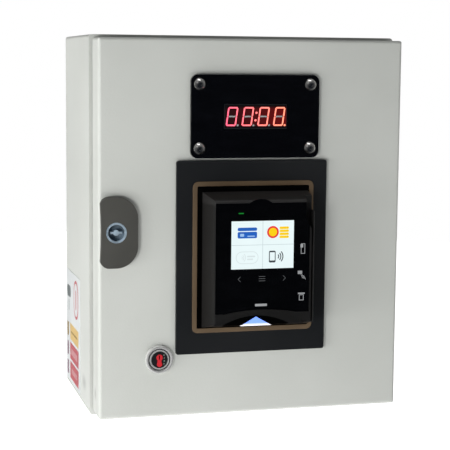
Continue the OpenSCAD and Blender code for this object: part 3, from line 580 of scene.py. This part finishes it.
# %% Floor
def make_floor():
    floor_bm = bmesh.new()
    bmesh.ops.create_circle(floor_bm, cap_ends=True, segments=96, radius=2.2)
    bmesh.ops.translate(floor_bm, vec=(0, 0.9, -0.40), verts=floor_bm.verts)
    mesh = bpy.data.meshes.new("floor")
    floor_bm.to_mesh(mesh)
    floor_bm.free()
    floor = bpy.data.objects.new("floor", mesh)
    bpy.context.scene.collection.objects.link(floor)
    material = bpy.data.materials.new("floor_white")
    material.use_nodes = True
    shader = material.node_tree.nodes["Principled BSDF"]
    shader.inputs["Base Color"].default_value = (0.90, 0.90, 0.90, 1.0)
    shader.inputs["Roughness"].default_value = 0.9
    shader.inputs["Emission Color"].default_value = (1.0, 1.0, 1.0, 1.0)
    shader.inputs["Emission Strength"].default_value = 1.1
    mesh.materials.append(material)
    floor.visible_glossy = False
    return floor


print("floor ready:", make_floor().name)

# %% [markdown]
# The surround is white where the camera sees it. For everything else it is dimmer: grey in front,
# so that the black window and the black cover stay black, and brighter at the sides and overhead.

# %% Surround
def make_surround():
    world = bpy.data.worlds.new("white_room")
    world.use_nodes = True
    tree = world.node_tree
    place = tree.nodes.new("ShaderNodeTexCoord").outputs["Generated"]
    axes = tree.nodes.new("ShaderNodeSeparateXYZ")
    tree.links.new(place, axes.inputs["Vector"])
    ramp = tree.nodes.new("ShaderNodeValToRGB")
    ramp.color_ramp.elements[0].position = 0.0
    ramp.color_ramp.elements[0].color = (0.0055, 0.0075, 0.0115, 1.0)
    ramp.color_ramp.elements[1].position = 1.0
    ramp.color_ramp.elements[1].color = (0.32, 0.32, 0.32, 1.0)
    front = math_node(tree, "MULTIPLY", axes.outputs["Y"], 0.55)
    level = math_node(tree, "ADD", math_node(tree, "MULTIPLY", axes.outputs["Z"], 0.25), front)
    tree.links.new(math_node(tree, "ADD", level, 0.55), ramp.inputs["Fac"])
    seen = tree.nodes.new("ShaderNodeLightPath").outputs["Is Camera Ray"]
    mix = tree.nodes.new("ShaderNodeMix")
    mix.data_type = "RGBA"
    colours = [i for i in mix.inputs if i.type == "RGBA"]
    tree.links.new(seen, mix.inputs["Factor"])
    tree.links.new(ramp.outputs["Color"], colours[0])
    colours[1].default_value = (1.0, 1.0, 1.0, 1.0)
    out = [o for o in mix.outputs if o.type == "RGBA"][0]
    tree.links.new(out, tree.nodes["Background"].inputs["Color"])
    bpy.context.scene.world = world


make_surround()
print("surround ready")

# %% [markdown]
# Four soft panels light the door. The two on the left are hidden from mirror-like faces.

# %% Lights
def make_panel(name, place, target, size, power, mirrored=True):
    data = bpy.data.lights.new(name, "AREA")
    data.shape = "RECTANGLE"
    data.size, data.size_y = size
    data.energy = power
    lamp = bpy.data.objects.new(name, data)
    bpy.context.scene.collection.objects.link(lamp)
    lamp.location = place
    lamp.rotation_mode = "QUATERNION"
    lamp.rotation_quaternion = (Vector(target) - Vector(place)).to_track_quat("-Z", "Y")
    lamp.visible_camera = False
    lamp.visible_glossy = mirrored


make_panel("side_panel", (-1.30, -0.45, -0.35), (-0.1, -0.10, -0.05), (0.7, 0.7), 15.5, mirrored=False)
make_panel("front_left_panel", (-0.58, -0.82, -0.10), (0, -0.15, -0.10), (0.22, 0.22), 3.0, mirrored=False)
make_panel("near_panel", (-0.62, -0.70, 0.55), (-0.08, -0.15, 0.08), (0.35, 0.35), 0.15)
make_panel("top_panel", (-0.10, -0.42, 1.0), (0, -0.18, 0.0), (0.6, 0.25), 1.3)
bpy.context.scene.view_settings.view_transform = "Standard"
print("studio ready")

# %% [markdown]
# ## Finishes on the frame's own parts
# The record names a material slot for each part. This table says which finish each slot wears.

# %% Dress the frame
SLOT_FINISH = {
    "powder_coat": powder_coat, "zinc_steel": zinc_steel, "galvanised_sheet": galvanised_sheet,
    "stainless_steel": stainless_steel, "lock_alloy": lock_alloy, "bright_chrome": bright_chrome,
    "brass": brass, "bezel_black": bezel_black, "reader_plastic": reader_plastic,
    "lock_plastic": lock_plastic, "clock_acrylic": clock_acrylic, "reader_glass": reader_cover,
    "seal_brown": seal_brown, "foam_gasket": foam_gasket, "gland_plastic": gland_plastic,
    "gland_rubber": gland_rubber, "label_film": device_white, "device_grey": device_grey,
    "device_white": device_white, "device_dark": device_dark, "terminal_green": terminal_green,
    "terminal_grey": terminal_grey, "end_stop_beige": end_stop_beige, "toggle_blue": toggle_blue,
    "circuit_board": terminal_green, "led_digits": device_dark, "lcd_panel": device_white,
    "slot_lens": toggle_blue, "key_face_black": key_face_black, "keyway_red": keyway_red,
    "cable_sheath": cable_sheath, "earth_sheath": terminal_green, "head_metal": head_metal,
    "wire_sheath": wire_sheath,
}
slot_of = {row["node"]: row["material_slot"] for row in frame["record"]["subparts"]}
for node_name, node_object in nodes.items():
    for index in range(len(node_object.material_slots)):
        node_object.material_slots[index].material = SLOT_FINISH[slot_of[node_name]]
print("dressed", len(nodes), "parts")

# %% [markdown]
# ## Moulded and cut edges
# These parts show their edges to the eye, so each gets a rounded copy. The lock's cover is softer
# than the rest, but only round its outline, not round the hole for the insert.

# %% Rounded copies
rounded("reader_bezel_plate", bezel_black, "door", 0.35 * MM)
rounded("clock_window", clock_acrylic, "door", 0.3 * MM)
cover_lo, cover_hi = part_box("lock_escutcheon")
lock_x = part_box("lock_insert")[0].x + 8.0 * MM


def outer_front_edge(edge):
    """True for the edges round the outline of the lock's cover, on its front."""
    far = all(math.hypot(v.co.x - lock_x, v.co.z + 0.8 * MM) > 9.5 * MM for v in edge.verts)
    return far and all(v.co.y < cover_lo.y + 0.1 * MM for v in edge.verts)


rounded(
    "lock_escutcheon", lock_plastic, "door", 2.6 * MM,
    segments=6, sharp=50, chosen=outer_front_edge,
)
rounded("lock_insert", lock_alloy, "latch", 0.25 * MM)
rounded("reader_frame", reader_plastic, "door", 0.7 * MM, segments=3)
rounded("reader_seal", seal_brown, "door", 0.3 * MM)
print("rounded copies ready")

# %% [markdown]
# ## The clock's digits
# A four-digit module shows seven segments per digit, and the digits lean by a few degrees. The
# middle segments and the dots after the first three digits are off, so they look pale grey. The
# face glows dull red between the lit segments.

# %% Finishes of the digits
digits_x = (led_lo.x + led_hi.x) / 2
digits_z = (led_lo.z + led_hi.z) / 2
digit_unlit = moulded("digit_unlit", (0.34, 0.36, 0.36), rough=(0.5, 0.6), bump=(0.05, 0.00002))


def make_digit_face():
    material = lit("digit_face", (0.030, 0.003, 0.004), (0.42, 0.002, 0.001), led_lo.x, led_hi.x, 0.35)
    tree = material.node_tree
    shader = tree.nodes["Principled BSDF"]
    axes = [n for n in tree.nodes if n.type == "SEPXYZ"][0]
    away = math_node(tree, "ABSOLUTE", math_node(tree, "SUBTRACT", axes.outputs["Z"], digits_z), 0.0)
    fade = tree.nodes.new("ShaderNodeMapRange")
    fade.interpolation_type = "SMOOTHSTEP"
    fade.inputs["From Min"].default_value = 8.5 * MM
    fade.inputs["From Max"].default_value = 5.0 * MM
    fade.inputs["To Max"].default_value = 0.30
    tree.links.new(away, fade.inputs["Value"])
    tree.links.new(fade.outputs["Result"], shader.inputs["Emission Strength"])
    for link in [k for k in tree.links if k.to_socket == shader.inputs["Base Color"]]:
        tree.links.remove(link)
    shader.inputs["Base Color"].default_value = (0.004, 0.004, 0.005, 1.0)
    return material


digit_face = make_digit_face()
print("digit finishes ready")

# %% Seven-segment digits
LEAN = math.tan(math.radians(8.0))
SEGMENT = 1.12 * MM


def lean_and_place(verts, x, y, z):
    for v in verts:
        v.co = Vector((v.co.x + v.co.z * LEAN + x, v.co.y + y, v.co.z + z))


def bar(mesh_bm, x, z, length, upright):
    w, h = (SEGMENT, length) if upright else (length, SEGMENT)
    return plate(mesh_bm, x, z, w, h, 0.0, 0.12 * MM, corner=SEGMENT * 0.42)


def make_digits():
    pitch, width, height = 12.7 * MM, 7.1 * MM, 13.6 * MM
    front = led_lo.y - 0.22 * MM
    on, off = bmesh.new(), bmesh.new()
    for k in range(4):
        x = digits_x + (k - 1.5) * pitch
        lit_verts = []
        for side in (-1, 1):
            lit_verts += bar(on, 0, side * height / 2, width - 0.2 * MM, False)
            for half in (-1, 1):
                lit_verts += bar(on, side * width / 2, half * height / 4, height / 2 - 0.3 * MM, True)
        middle = bar(off, 0, 0, width - 1.5 * MM, False)
        dot_bm = on if k == 3 else off
        dot = disc(dot_bm, width / 2 + 1.9 * MM, -height / 2, 0.8 * MM, 0, 0.12 * MM, 20)
        lean_and_place(lit_verts, x, front, digits_z)
        lean_and_place(middle, x, front, digits_z)
        lean_and_place(dot, x, front, digits_z)
    for side in (-1, 1):
        colon = disc(on, 0, side * 2.9 * MM, 0.85 * MM, 0, 0.12 * MM, 20)
        lean_and_place(colon, digits_x + 0.2 * MM, front, digits_z)
    face = bmesh.new()
    plate(face, digits_x, digits_z, 49.6 * MM, 18.3 * MM, led_lo.y - 0.1 * MM, 0.1 * MM)
    finish_piece("clock_digit_face", face, digit_face, "door")
    finish_piece("clock_digits_lit", on, digit_red, "door")
    finish_piece("clock_digits_unlit", off, digit_unlit, "door")


make_digits()
print("digits ready")

# %% [markdown]
# ## The reader's screen
# A backlit screen behind the cover shows four ways to pay, in four cells: a bank card, coins, a
# contactless tap and a phone. They are plain drawings, a few hundredths of a millimetre thick.

# %% Arcs for waves and rings
def arc(mesh_bm, x, z, r, width, start, end, y_front, depth, steps=12):
    """Adds part of a ring as short bars set round it. Angles in degrees from +X to +Z."""
    step = math.radians(end - start) / steps
    length = 2.2 * r * math.tan(abs(step) / 2)
    for k in range(steps):
        angle = math.radians(start) + (k + 0.5) * step
        plate(
            mesh_bm, x + r * math.cos(angle), z + r * math.sin(angle), width, length,
            y_front, depth, turn=-angle,
        )


# %% Lit screen finishes
def glow(name, colour, strength=1.0, spread=0.03):
    """A steady light with a slight unevenness from the backlight."""
    material = bpy.data.materials.new(name)
    material.use_nodes = True
    tree = material.node_tree
    shader = tree.nodes["Principled BSDF"]
    shader.inputs["Base Color"].default_value = (0.0, 0.0, 0.0, 1.0)
    shader.inputs["Roughness"].default_value = 0.35
    shader.inputs["Specular IOR Level"].default_value = 0.2
    shader.inputs["Emission Strength"].default_value = strength
    uneven = noise(tree, object_coordinates(tree), fixed=45.0, detail=2.0)
    darker = tuple(c * (1.0 - spread) for c in colour)
    tree.links.new(blend_colour(tree, uneven, darker, colour), shader.inputs["Emission Color"])
    return material


screen_white = glow("screen_white", (0.84, 0.96, 0.97))
screen_line = glow("screen_line", (0.60, 0.70, 0.72))
icon_blue = glow("icon_blue", (0.02, 0.13, 0.55), spread=0.15)
icon_pale_blue = glow("icon_pale_blue", (0.35, 0.55, 0.85))
icon_red = glow("icon_red", (0.86, 0.035, 0.045), spread=0.1)
icon_yellow = glow("icon_yellow", (1.0, 0.66, 0.01), spread=0.05)
icon_grey = glow("icon_grey", (0.58, 0.64, 0.66))
icon_pale_grey = glow("icon_pale_grey", (0.70, 0.79, 0.80))
icon_dark = glow("icon_dark", (0.055, 0.065, 0.075))
led_green = glow("led_green", (0.01, 0.24, 0.03), spread=0.2)
mark_white = glow("mark_white", (0.36, 0.37, 0.38), spread=0.2)
mark_dim = glow("mark_dim", (0.105, 0.11, 0.115), spread=0.2)
print("screen finishes ready")

# %% Screen background and cells
SCREEN_X, SCREEN_Z = 1.5 * MM, -10.2 * MM
SCREEN_W, SCREEN_H = 50.1 * MM, 37.2 * MM
screen_y = glass_lo.y - 0.05 * MM
icon_y = screen_y - 0.05 * MM
THIN = 0.05 * MM


def flat_piece(name, material, draw):
    flat_bm = bmesh.new()
    draw(flat_bm)
    return finish_piece(name, flat_bm, material, "door")


def draw_background(b):
    plate(b, SCREEN_X, SCREEN_Z, SCREEN_W, SCREEN_H, screen_y, THIN)


def draw_lines(b):
    plate(b, SCREEN_X, SCREEN_Z, 0.45 * MM, SCREEN_H, icon_y, THIN)
    plate(b, SCREEN_X, SCREEN_Z, SCREEN_W, 0.45 * MM, icon_y, THIN)


flat_piece("screen_background", screen_white, draw_background)
flat_piece("screen_lines", screen_line, draw_lines)
print("screen background ready")

# %% Pictures in the four cells
CELL_X, CELL_Z = 12.4 * MM, 9.7 * MM


def draw_card(b):
    x, z = SCREEN_X - CELL_X, SCREEN_Z + CELL_Z
    plate(b, x, z + 2.6 * MM, 15.5 * MM, 2.6 * MM, icon_y, THIN, corner=1.1 * MM)
    plate(b, x, z - 1.9 * MM, 15.5 * MM, 5.0 * MM, icon_y, THIN, corner=1.1 * MM)


def draw_card_chip(b):
    x, z = SCREEN_X - CELL_X, SCREEN_Z + CELL_Z
    plate(b, x - 4.2 * MM, z - 1.9 * MM, 3.2 * MM, 2.2 * MM, icon_y - THIN, THIN, corner=0.5 * MM)
    plate(b, x + 3.0 * MM, z - 2.8 * MM, 6.0 * MM, 0.8 * MM, icon_y - THIN, THIN, corner=0.3 * MM)


def draw_coin(b):
    x, z = SCREEN_X + CELL_X - 4.3 * MM, SCREEN_Z + CELL_Z
    disc(b, x, z, 4.7 * MM, icon_y, THIN, 48)


def draw_coin_stack(b):
    x, z = SCREEN_X + CELL_X + 4.8 * MM, SCREEN_Z + CELL_Z
    for k in range(4):
        plate(b, x, z + (k - 1.65) * 2.35 * MM, 7.6 * MM, 1.9 * MM, icon_y, THIN, corner=0.85 * MM)


def draw_coin_rim(b):
    x, z = SCREEN_X + CELL_X - 4.3 * MM, SCREEN_Z + CELL_Z
    disc(b, x, z, 3.3 * MM, icon_y - THIN, THIN, 40)


def draw_pill(b):
    x, z = SCREEN_X - CELL_X, SCREEN_Z - CELL_Z
    outline_pill(b, x, z, 18.0 * MM, 9.6 * MM, 0.5 * MM)
    for k in range(3):
        arc(b, x - 5.2 * MM, z, (1.3 + 1.3 * k) * MM, 0.5 * MM, -48, 48, icon_y, THIN, 10)
    plate(b, x + 3.2 * MM, z + 0.9 * MM, 6.4 * MM, 1.1 * MM, icon_y, THIN, corner=0.4 * MM)
    plate(b, x + 2.4 * MM, z - 1.3 * MM, 4.8 * MM, 1.1 * MM, icon_y, THIN, corner=0.4 * MM)


def draw_phone(b):
    x, z = SCREEN_X + CELL_X, SCREEN_Z - CELL_Z
    plate(b, x - 4.6 * MM, z + 0.3 * MM, 5.4 * MM, 9.2 * MM, icon_y, THIN, corner=1.1 * MM)
    for k in range(3):
        arc(b, x - 1.6 * MM, z + 0.3 * MM, (2.2 + 1.7 * k) * MM, 0.8 * MM, -42, 42, icon_y, THIN, 10)


def draw_phone_glass(b):
    x, z = SCREEN_X + CELL_X, SCREEN_Z - CELL_Z
    plate(b, x - 4.6 * MM, z + 0.5 * MM, 4.0 * MM, 6.4 * MM, icon_y - THIN, THIN, corner=0.3 * MM)


def outline_pill(b, x, z, w, h, line):
    """An outline with half-round ends."""
    reach, r = (w - h) / 2, h / 2 - line / 2
    for side in (-1, 1):
        plate(b, x, z + side * r, 2 * reach, line, icon_y, THIN)
        start = -90 if side > 0 else 90
        arc(b, x + side * reach, z, r, line, start, start + 180, icon_y, THIN, 16)


flat_piece("icon_tap", icon_pale_grey, draw_pill)
flat_piece("icon_phone", icon_dark, draw_phone)
flat_piece("icon_phone_glass", screen_white, draw_phone_glass)
flat_piece("icon_card", icon_blue, draw_card)
flat_piece("icon_card_chip", icon_pale_blue, draw_card_chip)
flat_piece("icon_coin", icon_red, draw_coin)
flat_piece("icon_coin_face", icon_yellow, draw_coin_rim)
flat_piece("icon_coin_stack", icon_yellow, draw_coin_stack)
print("screen ready")

# %% [markdown]
# ## Marks on the reader's cover
# Under the screen are three touch marks: back, menu and forward. On the right, three small drawings
# show how to use a card: hold it near, swipe it, push it in. A green lamp shows that the reader is
# ready, and a plain bar fills the maker's place.

# %% Touch marks
MARK_Z = -36.6 * MM


def draw_touch_marks(b):
    for side, x in ((-1, -17.0), (1, 19.3)):
        for slope in (-1, 1):
            plate(
                b, x * MM, MARK_Z + slope * 0.95 * MM, 2.9 * MM, 0.36 * MM, screen_y, THIN,
                corner=0.12 * MM, turn=math.radians(-side * slope * -45),
            )
    for k in (-1, 0, 1):
        plate(b, 1.3 * MM, MARK_Z + k * 1.7 * MM, 5.2 * MM, 0.36 * MM, screen_y, THIN, corner=0.12 * MM)


flat_piece("touch_marks", mark_dim, draw_touch_marks)
print("touch marks ready")

# %% Card drawings, ready lamp and plain bar
def draw_tap_card(b):
    outline(b, 34.2 * MM, -14.0 * MM, 3.4 * MM, 8.0 * MM, screen_y, THIN, 0.45 * MM, corner=0.15 * MM)
    plate(b, 33.2 * MM, -11.8 * MM, 2.2 * MM, 2.6 * MM, screen_y - THIN, THIN, corner=0.3 * MM)


def draw_swipe_card(b):
    plate(b, 32.0 * MM, -32.6 * MM, 3.6 * MM, 2.6 * MM, screen_y, THIN, corner=0.4 * MM)
    for k in range(3):
        plate(
            b, (33.6 + 1.1 * k) * MM, (-35.6 - 0.5 * k) * MM, 0.42 * MM, 3.6 * MM, screen_y, THIN,
            corner=0.1 * MM, turn=math.radians(-28),
        )


def draw_push_card(b):
    plate(b, 33.4 * MM, -49.2 * MM, 5.6 * MM, 1.2 * MM, screen_y, THIN, corner=0.3 * MM)
    outline(b, 33.4 * MM, -52.4 * MM, 3.8 * MM, 4.6 * MM, screen_y, THIN, 0.5 * MM, corner=0.15 * MM)


def draw_card_marks(b):
    draw_tap_card(b)
    draw_swipe_card(b)
    draw_push_card(b)


def draw_lamp(b):
    plate(b, -15.9 * MM, 14.4 * MM, 4.2 * MM, 0.9 * MM, screen_y, THIN, corner=0.35 * MM)


def draw_bar(b):
    plate(b, 0.7 * MM, -57.2 * MM, 9.6 * MM, 1.9 * MM, screen_y, THIN, corner=0.3 * MM)


flat_piece("card_marks", mark_white, draw_card_marks)
flat_piece("ready_lamp", led_green, draw_lamp)
flat_piece("plain_bar", mark_white, draw_bar)

# %% Lit triangle under the card slot
lens_lo, lens_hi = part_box("reader_slot_lens")
slot_light = lit(
    "slot_light", (0.72, 0.70, 0.74), (0.15, 0.27, 0.90),
    lens_lo.z + 0.5 * MM, lens_lo.z + 2.2 * MM, 1.0, axis="Z",
)
nodes["reader_slot_lens"].material_slots[0].material = slot_light
print("reader marks ready")

# %% [markdown]
# ## Key switch
# The switch's face carries a column of four pale dots beside the keyway.

# %% Dots on the key switch
dot_green = moulded("dot_green", (0.26, 0.34, 0.29), rough=(0.40, 0.50))


def make_key_dots():
    dots = bmesh.new()
    centre_x = (barrel_lo.x + barrel_hi.x) / 2
    centre_z = (barrel_lo.z + barrel_hi.z) / 2
    for k in range(4):
        x = centre_x + (3.9 - 0.25 * abs(k - 1.5)) * MM
        disc(dots, x, centre_z + (1.5 - k) * 2.3 * MM, 0.42 * MM, barrel_lo.y - 0.1 * MM, 0.1 * MM, 16)
    finish_piece("key_switch_dots", dots, dot_green, "key")


make_key_dots()
print("dots ready")

# %% [markdown]
# The chrome ring has two steps. A thin black ring in the groove between them is painted shade.

# %% Painted shade in the groove between the two rings of the key switch
def make_groove_shade_ring():
    groove = bmesh.new()
    centre_x = (barrel_lo.x + barrel_hi.x) / 2
    centre_z = (barrel_lo.z + barrel_hi.z) / 2
    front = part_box("door")[0].y - 2.06 * MM
    # The black ring is painted shade in the groove.
    arc(groove, centre_x, centre_z, 8.05 * MM, 0.9 * MM, 0, 360, front, 0.05 * MM, 48)
    finish_piece("key_switch_groove_shade", groove, key_face_black, "door")


make_groove_shade_ring()
print("groove ready")

# %% [markdown]
# ## Notice on the left side
# A printed film carries plain blocks of colour: an outlined oval and a grey mark on a pale panel, a
# yellow block and two red ones with lighter fields, and a narrow column of small blocks behind.

# %% Side notice
def side_plate(mesh_bm, y, z, w, h, lift, depth=0.05 * MM, corner=0.0):
    """Adds a plate that faces -X, with its front at the film's face plus lift."""
    made = plate(mesh_bm, 0, 0, w, h, 0, depth, corner)
    turn = Matrix.Rotation(-math.pi / 2, 3, "Z")
    bmesh.ops.rotate(mesh_bm, cent=(0, 0, 0), matrix=turn, verts=made)
    bmesh.ops.translate(mesh_bm, vec=(label_lo.x - lift - depth, y, z), verts=made)
    return made


def notice_piece(name, material, rows):
    """rows: (distance from the front edge, height above the foot, width, height, lift, corner) in mm."""
    notice = bmesh.new()
    for y, z, w, h, lift, corner in rows:
        side_plate(
            notice, label_lo.y + y * MM, label_lo.z + z * MM, w * MM, h * MM, lift * MM,
            corner=corner * MM,
        )
    return finish_piece(name, notice, material, "enclosure")


def printed(name, colour):
    return moulded(name, colour, rough=(0.35, 0.45), bump=(0.04, 0.00002), spread=0.06)


notice_white = printed("notice_white", (0.62, 0.645, 0.645))
notice_yellow = printed("notice_yellow", (0.62, 0.43, 0.16))
notice_red = printed("notice_red", (0.47, 0.095, 0.11))
notice_pink = printed("notice_pink", (0.52, 0.24, 0.25))
notice_grey = printed("notice_grey", (0.13, 0.15, 0.15))
notice_brown = printed("notice_brown", (0.30, 0.20, 0.06))
notice_violet = printed("notice_violet", (0.24, 0.16, 0.20))
notice_piece("notice_yellow_block", notice_yellow, [(31, 44.2, 46, 14.1, 0.0, 0.8)])
notice_piece("notice_yellow_mark", notice_brown, [
    (31, 44.2, 34, 1.6, 0.05, 0.6), (66, 44.2, 8, 12, 0.0, 0.8),
])
notice_piece("notice_red_blocks", notice_red, [
    (31, 27.2, 46, 14.6, 0.0, 0.8), (31, 10.5, 46, 14.6, 0.0, 0.8),
])
notice_piece("notice_red_marks", notice_pink, [
    (31, 27.2, 34, 5.6, 0.05, 0.8), (31, 10.5, 30, 4.6, 0.05, 0.8),
])
notice_piece("notice_side_marks", notice_violet, [
    (66, 27.2, 8, 12, 0.0, 0.8), (66, 10.5, 8, 12, 0.0, 0.8),
])
notice_piece("notice_oval", notice_red, [(21, 76, 24, 33, 0.0, 11.9)])
notice_piece("notice_oval_field", notice_white, [(21, 76, 19, 28, 0.05, 9.4)])
notice_piece("notice_oval_bar", notice_pink, [(21, 76, 5, 17, 0.1, 2.4)])
notice_piece("notice_grey_mark", notice_grey, [(60, 78, 20, 10, 0.0, 4.0), (60, 66, 2, 10, 0.0, 0.9)])
nodes["side_label"].material_slots[0].material = notice_white
print("side notice ready")

# %% [markdown]
# ## Leads between the enclosure and the door
# The loom and the earth strap run from the enclosure to the door. Each is replaced by a smooth-shaded
# copy of its own mesh in its new finish.

# %% Loom and earth strap
def bending(node, material):
    lead = bmesh.new()
    lead.from_mesh(nodes[node].data)
    bmesh.ops.remove_doubles(lead, verts=lead.verts, dist=2e-6)
    bmesh.ops.recalc_face_normals(lead, faces=lead.faces)
    mark_sharp(lead, 60)
    mesh = bpy.data.meshes.new(node + "_bending")
    lead.to_mesh(mesh)
    lead.free()
    mesh.materials.append(material)
    piece = bpy.data.objects.new(node + "_bending", mesh)
    bpy.context.scene.collection.objects.link(piece)
    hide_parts(node)
    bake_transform(piece)


bending("door_loom", cable_sheath)
bending("earth_strap", terminal_green)
print("leads ready")
